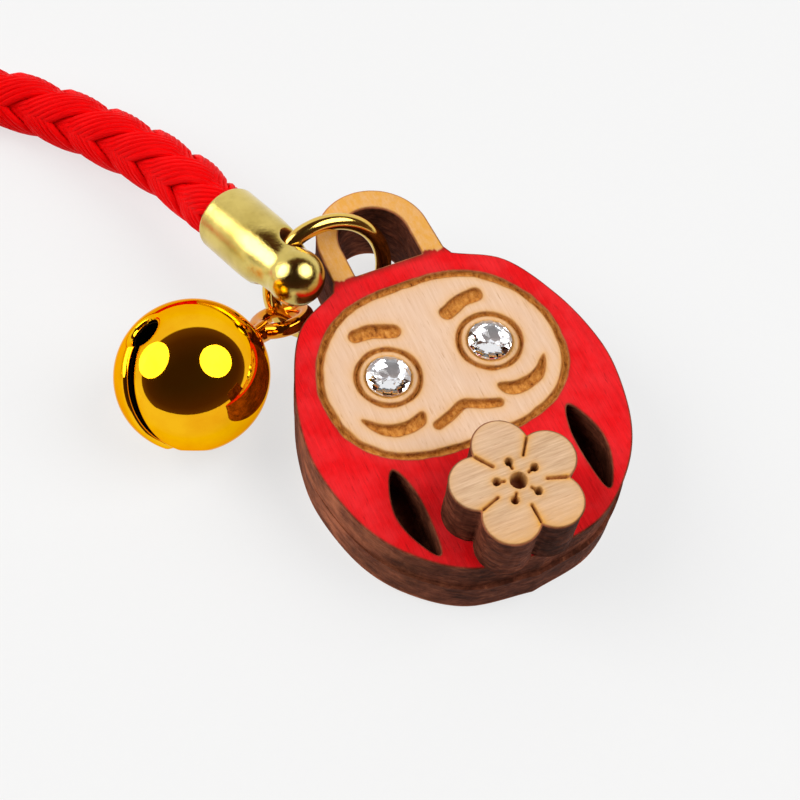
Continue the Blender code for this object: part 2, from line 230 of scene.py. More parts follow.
def outline_distance(x, y, outline):
    """Signed distance to a closed outline, negative inside."""
    inside = np.zeros(np.shape(x), bool)
    for (ax, ay), (bx, by) in zip(outline, outline[1:] + outline[:1]):
        if ay != by:
            inside ^= ((ay > y) != (by > y)) & (x < ax + (y - ay) * (bx - ax) / (by - ay))
    return np.where(inside, -1, 1) * line_distance(x, y, outline, True)


LATTICE = np.random.default_rng(11).random((32, 32, 32))


def bumps(x, y, z):
    """Smooth noise from 0 to 1, about one bump per unit."""
    at = np.stack(np.broadcast_arrays(x, y, z), -1).astype(float)
    low = np.floor(at).astype(int)
    t = at - low
    t = t * t * (3 - 2 * t)
    total = 0
    for corner in np.ndindex(2, 2, 2):
        weight = np.prod(np.where(corner, t, 1 - t), -1)
        cell = (low + corner) % 32
        total = total + weight * LATTICE[cell[..., 0], cell[..., 1], cell[..., 2]]
    return total


def step_up(value, low, high):
    t = np.clip((value - low) / (high - low), 0, 1)
    return t * t * (3 - 2 * t)


def cut_grid(us, vs, distance):
    """The part of a flat grid where distance is negative, cut along its zero line: (u, v, faces)."""
    u, v = np.meshgrid(us, vs, indexing="ij")
    du, dv = np.gradient(distance, us, vs)
    slope = np.maximum(du * du + dv * dv, 0.3)
    near = np.abs(distance) < 0.3 * (us[1] - us[0])
    u = np.where(near, u - distance * du / slope, u)
    v = np.where(near, v - distance * dv / slope, v)
    distance = np.where(near, 0.0, distance)
    inside = distance <= 0
    number = np.where(inside, np.cumsum(inside).reshape(inside.shape) - 1, -1)
    points = list(zip(u[inside], v[inside]))

    corners = np.stack([number[:-1, :-1], number[1:, :-1], number[1:, 1:], number[:-1, 1:]], -1)
    known = (corners >= 0).sum(-1)
    faces = corners[known == 4].tolist()
    crossings = {}
    for i, j in np.argwhere((known > 0) & (known < 4)):
        around = [(i, j), (i + 1, j), (i + 1, j + 1), (i, j + 1)]
        face = []
        for here, there in zip(around, around[1:] + around[:1]):
            if inside[here]:
                face.append(int(number[here]))
            if inside[here] == inside[there]:
                continue
            low, high = (here, there) if inside[here] else (there, here)
            if distance[low] == 0:
                face.append(int(number[low]))
                continue
            if (low, high) not in crossings:
                t = distance[low] / (distance[low] - distance[high])
                crossings[low, high] = len(points)
                points.append((u[low] + (u[high] - u[low]) * t, v[low] + (v[high] - v[low]) * t))
            face.append(crossings[low, high])
        face = list(dict.fromkeys(face))
        if len(face) > 2:
            faces.append(face)
    found = np.array(points)
    return found[:, 0], found[:, 1], faces


def rim_of(faces):
    """Directed edges that only one face uses."""
    edges = {}
    for face in faces:
        for a, b in zip(face, face[1:] + face[:1]):
            if (b, a) in edges:
                del edges[b, a]
            else:
                edges[a, b] = True
    return list(edges)


def grown(points, faces, rows):
    """Walls from the rim of faces: rows(rim vertex numbers, outward) gives each row's points in turn."""
    rim = rim_of(faces)
    ring = sorted({a for edge in rim for a in edge})
    place = {a: i for i, a in enumerate(ring)}
    outward = np.zeros((len(ring), 2))
    for a, b in rim:
        way = points[b][:2] - points[a][:2]
        for end in (a, b):
            outward[place[end]] += (way[1], -way[0])
    outward /= np.maximum(np.linalg.norm(outward, axis=1, keepdims=True), 1e-9)
    last = {a: a for a in ring}
    made = [points]
    walls = []
    count = len(points)
    for row in rows(np.array(ring), outward):
        made.append(row)
        new = {a: count + i for a, i in place.items()}
        walls += [[last[b], last[a], new[a], new[b]] for a, b in rim]
        last = new
        count += len(ring)
    return np.concatenate(made), walls, [(last[a], last[b]) for a, b in rim]


def new_object(name, points, faces, look=None, colors=None, fill=(), sharp_deg=None, merge=0.0, uvs=None):
    """A mesh object from points in metres. fill lists the edges of a flat end to close."""
    mesh = bpy.data.meshes.new(name)
    mesh.from_pydata(np.asarray(points).tolist(), [], faces)
    if colors is not None:
        marks = mesh.attributes.new("wood", "FLOAT_COLOR", "POINT")
        marks.data.foreach_set("color", np.ravel(colors).astype(np.float32))
    if uvs is not None:
        layer = mesh.uv_layers.new(name="yarn")
        corners = np.empty(len(mesh.loops), int)
        mesh.loops.foreach_get("vertex_index", corners)
        layer.uv.foreach_set("vector", np.ravel(uvs[corners]).astype(np.float32))
    bm = bmesh.new()
    bm.from_mesh(mesh)
    if fill:
        bm.verts.ensure_lookup_table()
        edges = [bm.edges.get((bm.verts[a], bm.verts[b])) for a, b in fill]
        bmesh.ops.triangle_fill(bm, edges=edges)
    if merge:
        bmesh.ops.remove_doubles(bm, verts=bm.verts, dist=merge * MM)
    bmesh.ops.recalc_face_normals(bm, faces=bm.faces)
    bm.to_mesh(mesh)
    bm.free()
    mesh.shade_smooth()
    if sharp_deg is not None:
        mesh.set_sharp_from_angle(angle=math.radians(sharp_deg))
    obj = bpy.data.objects.new(name, mesh)
    bpy.context.scene.collection.objects.link(obj)
    if look is not None:
        mesh.materials.append(look)
    return obj


def rows_of_faces(spans, sides, rows):
    """Faces between each ring of points and the next one. The ring after the last one is the first."""
    return [
        [
            i * sides + k, i * sides + (k + 1) % sides,
            (i + 1) % rows * sides + (k + 1) % sides, (i + 1) % rows * sides + k,
        ]
        for i in range(spans) for k in range(sides)
    ]


def tube(path, radial, radius, sides, closed=False):
    """Points, faces and (length, turn) of a round tube. radial is a sideways direction at each point."""
    path = np.asarray(path, float)
    ways = np.roll(path, -1, 0) - np.roll(path, 1, 0) if closed else np.gradient(path, axis=0)
    ways /= np.linalg.norm(ways, axis=1, keepdims=True)
    radial = radial - ways * np.sum(radial * ways, 1, keepdims=True)
    radial = radial / np.linalg.norm(radial, axis=1, keepdims=True)
    other = np.cross(ways, radial)
    turns = 2 * np.pi * np.arange(sides) / sides
    radius = np.broadcast_to(radius, len(path))[:, None, None]
    points = path[:, None] + radius * (
        np.cos(turns)[None, :, None] * radial[:, None] + np.sin(turns)[None, :, None] * other[:, None]
    )
    count = len(path)
    spans = count if closed else count - 1
    faces = rows_of_faces(spans, sides, count)
    if not closed:
        faces += [list(range(sides)), list(range((count - 1) * sides, count * sides))]
    along = np.concatenate([[0], np.cumsum(np.linalg.norm(np.diff(path, axis=0), axis=1))])
    uvs = np.stack(np.broadcast_arrays(along[:, None], turns[None]), -1).reshape(-1, 2)
    return points.reshape(-1, 3), faces, uvs


# Materials ------------------------------------------------------------------------------------

class Look:
    """A Principled material and short ways to add nodes to it."""

    def __init__(self, name, color=(0.8, 0.8, 0.8), roughness=0.5, **sockets):
        self.material = bpy.data.materials.new(name)
        self.material.use_nodes = True
        self.tree = self.material.node_tree
        self.shader = self.tree.nodes["Principled BSDF"]
        self.shader.inputs["Base Color"].default_value = (*color, 1)
        self.shader.inputs["Roughness"].default_value = roughness
        for socket, value in sockets.items():
            self.shader.inputs[socket.replace("_", " ")].default_value = value

    def node(self, kind, inputs=(), **settings):
        made = self.tree.nodes.new(kind)
        for setting, value in settings.items():
            setattr(made, setting, value)
        for socket, value in dict(inputs).items():
            if isinstance(value, bpy.types.NodeSocket):
                self.tree.links.new(value, made.inputs[socket])
            else:
                made.inputs[socket].default_value = value
        return made

    def places(self, scale, turn=(0, 0, 0), source="Object"):
        """Coordinates on the piece, stretched: scale is bumps per millimetre along each axis."""
        coords = self.node("ShaderNodeTexCoord").outputs[source]
        size = 1 / MM if source == "Object" else 1.0
        turned = self.node("ShaderNodeMapping", {"Vector": coords, "Rotation": turn}).outputs[0]
        return self.node(
            "ShaderNodeMapping", {"Vector": turned, "Scale": [size * s for s in scale]}
        ).outputs[0]

    def noise(self, places, detail=4.0, rough=0.6, distort=0.0):
        return self.node("ShaderNodeTexNoise", {
            "Vector": places, "Scale": 1.0, "Detail": detail, "Roughness": rough, "Distortion": distort,
        }).outputs[0]

    def ramp(self, value, stops):
        """stops are (position, colour or grey)."""
        made = self.node("ShaderNodeValToRGB", {"Fac": value})
        elements = made.color_ramp.elements
        while len(elements) < len(stops):
            elements.new(0.5)
        for element, (at, shade) in zip(elements, stops):
            element.position = at
            element.color = (*shade, 1) if isinstance(shade, tuple) else (shade, shade, shade, 1)
        return made.outputs[0]

    def mix(self, amount, low, high, blend="MIX"):
        made = self.node("ShaderNodeMix", data_type="RGBA", blend_type=blend)
        for socket, value in ((0, amount), (6, low), (7, high)):
            if isinstance(value, bpy.types.NodeSocket):
                self.tree.links.new(value, made.inputs[socket])
            else:
                made.inputs[socket].default_value = (*value, 1) if isinstance(value, tuple) else value
        return made.outputs[2]

    def math(self, operation, a, b=0.0, clamp=False):
        made = self.node("ShaderNodeMath", operation=operation, use_clamp=clamp)
        for socket, value in enumerate((a, b)):
            if isinstance(value, bpy.types.NodeSocket):
                self.tree.links.new(value, made.inputs[socket])
            else:
                made.inputs[socket].default_value = value
        return made.outputs[0]

    def set(self, socket, value):
        self.tree.links.new(value, self.shader.inputs[socket])

    def bump(self, height, strength, distance, under=None):
        inputs = {"Height": height, "Strength": strength, "Distance": distance * MM}
        if under is not None:
            inputs["Normal"] = under
        made = self.node("ShaderNodeBump", inputs).outputs[0]
        self.set("Normal", made)
        return made


def wood_look(name, across=False, soot_light=1.0, pale=(0.76, 0.56, 0.42), deep=(0.64, 0.43, 0.30)):
    """Laser-cut wood. The mesh's "wood" colours hold red stain, toasting, engraved floor and charred wall. On
    the left side walls the toasting colour is painted light.
    """
    look = Look(name, roughness=0.62)
    turn = (-LEAN, 0, math.pi / 2 if across else 0)
    marks = look.node("ShaderNodeAttribute", attribute_name="wood")
    split = look.node("ShaderNodeSeparateColor", {"Color": marks.outputs["Color"]})
    stain, toast, groove = split.outputs[0], split.outputs[1], split.outputs[2]
    char = marks.outputs["Alpha"]

    fibre = look.noise(look.places((6.5, 0.35, 6.5), turn), 5, 0.65)
    band = look.noise(look.places((0.7, 0.06, 0.7), turn), 3, 0.5, 0.4)
    pores = look.noise(look.places((9, 0.9, 9), turn), 3, 0.55)
    speck = look.noise(look.places((3.2, 1.6, 3.2), turn), 6, 0.65)
    pore = look.ramp(pores, [(0.28, 1.0), (0.38, 0.0)])

    natural = look.mix(look.ramp(fibre, [(0.3, 0.0), (0.72, 1.0)]), deep, pale)
    natural = look.mix(look.ramp(band, [(0.35, 0.0), (0.7, 0.5)]), natural, (0.70, 0.47, 0.32))
    natural = look.mix(look.math("MULTIPLY", pore, 0.45), natural, (0.42, 0.20, 0.09))
    red = look.mix(look.ramp(fibre, [(0.3, 0.0), (0.75, 1.0)]), (0.56, 0.001, 0.003), (0.82, 0.003, 0.007))
    # This noise gives lighter pinkish patches on the red: painted sheen of the lamp, spread at random. Below,
    # it also blotches the soot at random.
    sheen_and_blotch_patch = look.noise(look.places((0.28, 0.28, 0.28), turn), 4, 0.6)
    red = look.mix(look.ramp(sheen_and_blotch_patch, [(0.42, 0.0), (0.7, 0.4)]), red, (0.84, 0.045, 0.055))
    red = look.mix(look.math("MULTIPLY", pore, 0.5), red, (0.30, 0.002, 0.004))
    color = look.mix(stain, natural, red)
    browned = look.math("MULTIPLY", toast, look.ramp(speck, [(0.3, 0.65), (0.6, 1.0)]), True)
    color = look.mix(browned, color, look.mix(stain, (0.68, 0.335, 0.062), (0.20, 0.015, 0.008)))
    floor = look.ramp(speck, [
        (0.30, (0.14, 0.038, 0.006)), (0.42, (0.40, 0.135, 0.020)), (0.56, (0.57, 0.235, 0.042)),
        (0.74, (0.70, 0.34, 0.085)),
    ])
    color = look.mix(groove, color, floor)
    layers = look.noise(look.places((0.9, 0.9, 3.0), turn), 7, 0.7, 0.8)
    soot = look.ramp(layers, [
        (0.32, (0.016, 0.004, 0.003)), (0.46, (0.075, 0.018, 0.011)), (0.60, (0.18, 0.052, 0.028)),
        (0.78, (0.36, 0.13, 0.06)),
    ])
    # toast times char lightens the soot on the walls. On the left side walls this is painted light, not
    # toasting.
    soot = look.mix(look.math("MULTIPLY", toast, char), soot, (0.46, 0.15, 0.07))
    soot = look.mix(1.0, soot, look.ramp(sheen_and_blotch_patch, [(0.36, 0.40), (0.60, 1.15)]), "MULTIPLY")
    color = look.mix(char, color, look.mix(1.0, soot, (soot_light,) * 3, "MULTIPLY"))
    look.set("Base Color", color)
    look.set("Roughness", look.ramp(fibre, [(0.2, 0.78), (0.8, 0.6)]))
    look.set("Specular IOR Level", look.ramp(char, [(0.0, 0.11), (0.9, 0.03)]))
    height = look.math("ADD", fibre, look.math("MULTIPLY", pore, -0.5))
    coarse = look.math("MULTIPLY", layers, look.math("MULTIPLY", char, 2.2))
    rough = look.math("MULTIPLY", speck, look.math("MULTIPLY", groove, 1.3))
    look.bump(look.math("ADD", height, look.math("ADD", coarse, rough)), 0.55, 0.05)
    return look.material


def metal_look(name, color, tarnish, roughness, pits, edge=(1, 1, 1, 1)):
    """Bright plated metal with faint orange peel, specks and duller patches."""
    look = Look(name, color, roughness, Metallic=1.0, Specular_Tint=edge)
    patches = look.noise(look.places((0.35, 0.35, 0.35)), 4, 0.6)
    peel = look.noise(look.places((5.5, 5.5, 5.5)), 5, 0.65)
    look.set("Base Color", look.mix(look.ramp(patches, [(0.4, 0.0), (0.85, 1.0)]), color, tarnish))
    look.set("Roughness", look.ramp(patches, [(0.3, roughness * 0.8), (0.75, roughness * 1.5)]))
    look.bump(peel, pits, 0.02)
    return look.material


def cord_look():
    """Shiny red filament yarn, whose fibres run along each yarn with a slight twist."""
    look = Look("braid_red", (0.80, 0.001, 0.004), 0.45, Specular_IOR_Level=0.04)
    coords = look.node("ShaderNodeTexCoord").outputs["UV"]
    along = look.node(
        "ShaderNodeMapping", {"Vector": coords, "Scale": (0.6, 3.2, 1.0), "Rotation": (0, 0, 0.32)}
    )
    fibres = look.noise(along.outputs[0], 4, 0.6)
    patches = look.noise(look.places((0.5, 0.5, 0.5)), 3, 0.5)
    color = look.mix(look.ramp(fibres, [(0.25, 0.0), (0.75, 1.0)]), (0.60, 0.0, 0.0005), (0.96, 0.0, 0.001))
    faded = look.ramp(patches, [(0.4, 0.0), (0.8, 0.25)])
    look.set("Base Color", look.mix(faded, color, (0.95, 0.002, 0.004)))
    look.bump(fibres, 0.7, 0.08)
    return look.material


# Camera, floor and light ----------------------------------------------------------------------

def add_camera():
    data = bpy.data.cameras.new("camera")
    data.sensor_width = 36
    data.lens = 67.5
    data.clip_start = 0.005
    camera = bpy.data.objects.new("camera", data)
    right, up = Vector(CAMERA_RIGHT), Vector(CAMERA_UP)
    turn = Matrix((right, up, right.cross(up))).transposed().to_4x4()
    camera.matrix_world = Matrix.Translation(placed(CAMERA_AT)) @ turn
    bpy.context.scene.collection.objects.link(camera)
    bpy.context.scene.camera = camera


def add_stage():
    # A white sheet that is lit from beneath as well.
    look = Look(
        "paper", (0.3, 0.3, 0.3), 0.8, Specular_IOR_Level=0.1,
        Emission_Strength=SHEET_GLOW, Emission_Color=(0.985, 0.995, 1.0, 1),
    )
    fibres = look.noise(look.places((1.5, 1.5, 1.5)), 4, 0.6)
    look.set("Base Color", look.mix(fibres, (SHEET_GREY,) * 3, (SHEET_GREY + 0.01,) * 3))
    look.bump(fibres, 0.08, 0.02)
    side, level = SHEET_HALF, SHEET_Z
    corners = [(-side, -side, level), (side, -side, level), (side, side, level), (-side, side, level)]
    floor = new_object("floor", np.array(corners) * MM, [[0, 1, 2, 3]], look.material)

    for name, way in LAMPS.items():
        data = bpy.data.lights.new(name, "AREA")
        data.shape = "DISK"
        data.size = 2 * LAMP_RADIUS_M
        data.energy = LAMP_WATTS
        data.color = (1.0, 0.985, 0.96)
        lamp = bpy.data.objects.new(name, data)
        lamp.location = Vector(way).normalized() * LAMP_DISTANCE_M
        lamp.rotation_euler = Vector(way).to_track_quat("Z", "Y").to_euler()
        bpy.context.scene.collection.objects.link(lamp)

    # A bright room with one large dark side: over the table's near edge and up past the zenith.
    world = bpy.data.worlds.new("studio")
    world.use_nodes = True
    nodes, links = world.node_tree.nodes, world.node_tree.links

    def vector(operation, incoming, value=None):
        made = nodes.new("ShaderNodeVectorMath")
        made.operation = operation
        links.new(incoming, made.inputs[0])
        if value is not None:
            made.inputs[1].default_value = value
        return made

    coords = nodes.new("ShaderNodeTexCoord").outputs["Generated"]
    squashed = vector("MULTIPLY", coords, DARK_SPREAD).outputs[0]
    toward = vector("DOT_PRODUCT", vector("NORMALIZE", squashed).outputs[0], Vector(DARK_WAY).normalized())
    ramp = nodes.new("ShaderNodeValToRGB")
    while len(ramp.color_ramp.elements) < len(ROOM):
        ramp.color_ramp.elements.new(0.5)
    for element, (at, shade) in zip(ramp.color_ramp.elements, ROOM):
        element.position = at
        element.color = (*shade, 1)
    links.new(toward.outputs["Value"], ramp.inputs[0])
    links.new(ramp.outputs[0], nodes["Background"].inputs[0])
    bpy.context.scene.world = world
    bpy.context.scene.view_settings.view_transform = "Standard"


# Wooden charm ---------------------------------------------------------------------------------

def board_distance(x, y):
    """Signed distance to the boards' outline, with its hanging hole."""
    body = smooth_through(BODY_HALF, 8)
    half = list(reversed(body)) + [(4.45, 8.75)] + arc(0, LOOP_CENTRE_Y, LOOP_HALF_WIDTH, 25, 0, 90)
    hole = [
        (HOLE_RADIUS, HOLE_BOTTOM_Y), *arc(0, LOOP_CENTRE_Y, HOLE_RADIUS, 33, 0, 180),
        (-HOLE_RADIUS, HOLE_BOTTOM_Y),
    ]
    return np.maximum(outline_distance(x, y, mirrored(half)), -outline_distance(x, y, hole))


def slab(name, look, step, size, distance_of, top, bottom, relief, rows=16, rough=0.07):
    """A laser-cut board: relief(x, y, distance) gives how far its top is sunk and its four wood colours."""
    (x0, y0), (x1, y1) = size
    us = np.arange(x0, x1 + step, step)
    vs = np.arange(y0, y1 + step, step)
    grid = np.meshgrid(us, vs, indexing="ij")
    x, y, faces = cut_grid(us, vs, distance_of(*grid))
    distance = np.minimum(distance_of(x, y), 0)
    sunk, colors = relief(x, y, distance)
    way = 1 if top > bottom else -1
    edge = 0.10 * (1 - np.clip(-distance / 0.16, 0, 1)) ** 2
    points = np.stack([x, y, top - way * (sunk + edge)], 1)
    colors[:, 3] = np.maximum(colors[:, 3], step_up(distance, -0.16, -0.04))
    shades = [colors]

    def walls(ring, outward):
        base = points[ring]
        for i in range(1, rows + 1):
            t = i / rows
            z = top + (bottom - top) * t - way * (sunk[ring] + edge[ring]) * (1 - t)
            px, py = base[:, 0], base[:, 1]
            lines = bumps(px * 5, py * 5, z * 0.7) * 0.55 + bumps(px * 0.8, py * 0.8, z * 3.5 + 9) * 0.45
            deep = rough * lines * (step_up(t, 0, 0.08) * step_up(1 - t, 0, 0.04) * 0.8 + 0.2)
            wall = np.zeros((len(ring), 4))
            wall[:, 3] = 1
            # Walls on the left (x below -5) get more of the toast channel, which lightens them to brown:
            # painted light where the left lamp falls.
            wall[:, 1] = 0.6 * step_up(-px, 5, 11) * bumps(px, py, z * 2 + 4) + 0.1
            shades.append(wall)
            yield np.stack([px - outward[:, 0] * deep, py - outward[:, 1] * deep, z], 1)

    points, sides, last = grown(points, faces, walls)
    return new_object(
        name, to_part(points, CHARM), faces + sides, look, np.concatenate(shades), last, sharp_deg=70
    )


def carved(distance, depth, wall=0.24):
    """How deep a cut with sloping walls is, where distance is negative."""
    return depth * step_up(-distance, 0, wall)


def front_relief(x, y, distance):
    """The face: engraved lines, the crystals' seats, stain outside the face and toasting beside each cut."""
    side = np.abs(x)
    face = outline_distance(x, y, mirrored(smooth_through(FACE_HALF, 8)))
    eye = np.hypot(side - EYE_X, y)
    ring_middle, ring_half = sum(EYE_RING) / 2, (EYE_RING[1] - EYE_RING[0]) / 2
    wobble = 0.09 * (bumps(x * 1.3, y * 1.3, 3.0) - 0.5)
    cuts = [
        np.abs(face - FACE_GROOVE / 2) - FACE_GROOVE / 2,
        np.abs(eye - ring_middle) - ring_half,
        line_distance(side, y, smooth_through(BROW, 6)) - BROW_WIDTH / 2,
        outline_distance(side, y, smooth_through(CHEEK, 5, True)),
        line_distance(x, y, smooth_through(MOUTH, 5)) - MOUTH_WIDTH / 2,
    ]
    cut = np.minimum.reduce(cuts) + wobble
    seat = eye - SEAT_RADIUS
    grain = bumps(x * 4, y * 9, 1.0) - 0.5
    sunk = carved(cut, GROOVE_DEPTH) + step_up(-cut, 0.1, 0.3) * 0.09 * grain + carved(seat, SEAT_DEPTH, 0.15)
    sunk += 0.012 * bumps(x * 7, y * 0.5, 5.0)

    bleed = 0.55 * bumps(x * 2.2, 0.0, 2.0) + 0.35 * bumps(x * 6.0, y * 0.5, 4.0)
    stain = step_up(face + wobble, FACE_GROOVE - 0.12, FACE_GROOVE + 0.02)
    stain *= step_up(STAIN_TOP_Y + bleed - y, 0.0, 0.18)
    loop = step_up(y, STAIN_TOP_Y - 0.5, STAIN_TOP_Y + 0.4)
    near = np.minimum(cut, np.where(eye < 3, np.maximum(seat, 0), 9))
    toast = 0.6 * np.exp(-np.maximum(near, 0) / 0.1) + 0.4 * np.exp(-np.maximum(near, 0) / 0.6)
    toast = toast * (1 - 0.65 * stain) + 1.0 * loop + 0.5 * np.exp(distance / 0.25) * (1 - 0.5 * stain)
    groove = step_up(-cut, -0.03, 0.06)
    rim = 0.62 * np.exp(-((cut + 0.03) / 0.06) ** 2)
    return sunk, np.stack([stain, np.clip(toast, 0, 1), groove, rim], 1)


def back_relief(x, y, distance):
    """The plain back: natural wood, toasted towards its edge and smoked here and there."""
    smoke = step_up(bumps(x * 0.35, y * 0.35, 6.0), 0.45, 0.9)
    toast = 0.7 * np.exp(distance / 0.35) + 0.35 * np.exp(distance / 1.6) * smoke + 0.12 * smoke
    empty = np.zeros_like(x)
    return 0.012 * bumps(x * 7, y * 0.5, 8.0), np.stack([empty, np.clip(toast, 0, 1), empty, empty], 1)


def petals(steps=16):
    """The outline of five round petals that overlap at the middle, the first pointing along Y."""
    found = []
    for petal in range(5):
        for turn in np.radians(-36 + 36 * np.arange(2 * steps) / steps):
            across = PETAL_OUT * math.sin(turn)
            reach = PETAL_OUT * math.cos(turn) + math.sqrt(PETAL_RADIUS ** 2 - across ** 2)
            angle = math.radians(90 + 72 * petal) + turn
            found.append((reach * math.cos(angle), reach * math.sin(angle)))
    return found


def plaque_distance(x, y):
    return outline_distance(x - PLAQUE_AT[0], y - PLAQUE_AT[1], petals())


def plaque_relief(x, y, distance):
    """Burnt lines between the petals and out to the stamens, whose ends are drilled, with a drilled heart."""
    px, py = x - PLAQUE_AT[0], y - PLAQUE_AT[1]
    stamens = arc(0, 0, STAMEN_OUT, 6, 90, 360)[:5]
    pit = np.minimum.reduce(
        [np.hypot(px, py) - HEART_RADIUS] + [np.hypot(px - cx, py - cy) - STAMEN_RADIUS for cx, cy in stamens]
    )
    lines = [
        line_distance(px, py, [tuple(0.95 * c / STAMEN_OUT for c in end), end]) for end in stamens
    ] + [
        line_distance(px, py, [inner, outer])
        for inner, outer in zip(arc(0, 0, 1.9, 6, 126, 360)[:5], arc(0, 0, 3.2, 6, 126, 360)[:5])
    ]
    cut = np.minimum.reduce(lines) - 0.14 + 0.06 * (bumps(x * 2, y * 2, 1.5) - 0.5)
    sunk = carved(cut, 0.4, 0.18) + carved(pit, PIT_DEPTH, 0.12) + 0.03 * bumps(x * 0.8, y * 6, 2.0)
    near = np.minimum(cut, pit)
    toast = 0.8 * np.exp(-np.maximum(near, 0) / 0.2) + 0.6 * np.exp(distance / 0.22)
    toast += 0.35 * step_up(-py, 1.0, 4.2)
    deep = np.maximum(step_up(-pit, -0.02, 0.12), 0.6 * step_up(-cut, 0.0, 0.1))
    groove = step_up(-cut, -0.03, 0.08)
    return sunk, np.stack([np.zeros_like(x), np.clip(toast, 0, 1), groove, deep], 1)


def add_wood():
    size = ((-11.7, -16.9), (11.7, 16.0))
    arm = smooth_through(ARM, 8, True)

    def front_distance(x, y):
        return np.maximum(board_distance(x, y), -outline_distance(np.abs(x), y, arm))

    def back_distance(x, y):
        return board_distance(x, y + BACK_DROP * np.clip((8 - y) / 6, 0, 1))

    wood = wood_look("charm_wood")
    front = slab("front_board_wood", wood, 0.075, size, front_distance, FACE_Z, PLY + GLUE, front_relief)
    back = slab("back_board_wood", wood, 0.16, size, back_distance, 0.0, PLY, back_relief)
    px, py = PLAQUE_AT
    box = ((px - 4.7, py - 4.6), (px + 4.7, py + 4.6))
    pale = wood_look("plaque_wood", True, 0.8, (0.68, 0.48, 0.31), (0.44, 0.27, 0.15))
    plaque = slab(
        "plaque_ornament", pale, 0.07, box, plaque_distance,
        FACE_Z + GLUE + PLAQUE_HEIGHT, FACE_Z + GLUE, plaque_relief, rows=22, rough=0.12,
    )
    for piece, node in ((front, "front_board"), (back, "back_board"), (plaque, "plaque")):
        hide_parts(node)
        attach(piece, "charm")


def ring_of(x, radius, height, count, turn):
    """A level ring of points round the place (x, 0) of the charm."""
    angles = np.radians(turn + 360 * np.arange(count) / count + x * CRYSTAL_TWIST)
    return [(x + radius * math.cos(a), radius * math.sin(a), height) for a in angles]


def add_crystals():
    glass = Look("crystal_glass", (1, 1, 1), 0.0, Transmission_Weight=1.0, IOR=1.6)
    clouds = glass.noise(glass.places((0.8, 0.8, 0.8)), 2, 0.5)
    glass.set("Base Color", glass.mix(clouds, (0.97, 0.98, 1.0), (1.0, 1.0, 1.0)))
    # The foil glows faintly: painted light that brightens the stones.
    foil = Look("crystal_foil_painted_glow", (0.9, 0.92, 0.95), 0.04, Metallic=1.0, Emission_Strength=0.22)
    streaks = foil.noise(foil.places((3, 3, 3)), 3, 0.5)
    foil.set("Base Color", foil.mix(streaks, (0.80, 0.82, 0.86), (0.97, 0.97, 1.0)))
    sides, half_side = 16, 11.25
    floor_z = FACE_Z - SEAT_DEPTH + GLUE
    for name, x in (("left", -EYE_X), ("right", EYE_X)):
        crown = []
        for radius, height, count, turn in CRYSTAL_TIERS:
            crown += ring_of(x, radius, floor_z + height, count, turn)
        keel = [(x, 0, floor_z + 0.04)]
        stone = hull(f"crystal_{name}_glass", to_part(crown + keel, CHARM), glass.material)
        rim = ring_of(x, CRYSTAL_RADIUS, floor_z + 0.26, sides, half_side)
        flat = ring_of(x, CRYSTAL_FLAT_RADIUS, floor_z, sides, half_side)
        points = rim + flat + [(x, 0, floor_z + 0.015)]
        faces = [[i, (i + 1) % sides, 2 * sides] for i in range(sides)]
        faces += [[i, (i + 1) % sides, sides + (i + 1) % sides, sides + i] for i in range(sides)]
        cup = new_object(f"crystal_{name}_foil", to_part(points, CHARM), faces, foil.material, sharp_deg=5)
        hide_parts(f"crystal_{name}")
        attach(stone, "charm")
        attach(cup, "charm")


def hull(name, points, look):
    bm = bmesh.new()
    for point in points:
        bm.verts.new(point)
    bmesh.ops.convex_hull(bm, input=bm.verts)
    loose = [vert for vert in bm.verts if not vert.link_faces]
    bmesh.ops.delete(bm, geom=loose, context="VERTS")
    bmesh.ops.dissolve_limit(bm, angle_limit=math.radians(1), verts=bm.verts, edges=bm.edges)
    mesh = bpy.data.meshes.new(name)
    bm.to_mesh(mesh)
    bm.free()
    obj = bpy.data.objects.new(name, mesh)
    bpy.context.scene.collection.objects.link(obj)
    mesh.materials.append(look)
    return obj


# Metal ----------------------------------------------------------------------------------------

def add_ring():
    look = metal_look("ring_gold", (0.86, 0.60, 0.13), (0.72, 0.44, 0.08), 0.10, 0.10)
    turns = np.radians(RING_GAP_AT_DEG + RING_GAP_DEG / 2 + (360 - RING_GAP_DEG) * np.arange(241) / 240)
    radial = np.stack([np.cos(turns), np.sin(turns), 0 * turns], 1)
    radius = np.full(241, WIRE_RADIUS)
    radius[[0, -1]] = WIRE_RADIUS * 0.86
    points, faces, _ = tube(radial * RING_RADIUS, radial, radius, 32)
    place = frame_matrix(RING_CENTRE, RING_NORMAL, (1, 0, 0))
    ring = new_object("jump_ring_gold", to_part(points, place), faces, look, sharp_deg=50)
    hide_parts("jump_ring")
    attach(ring, "ring")


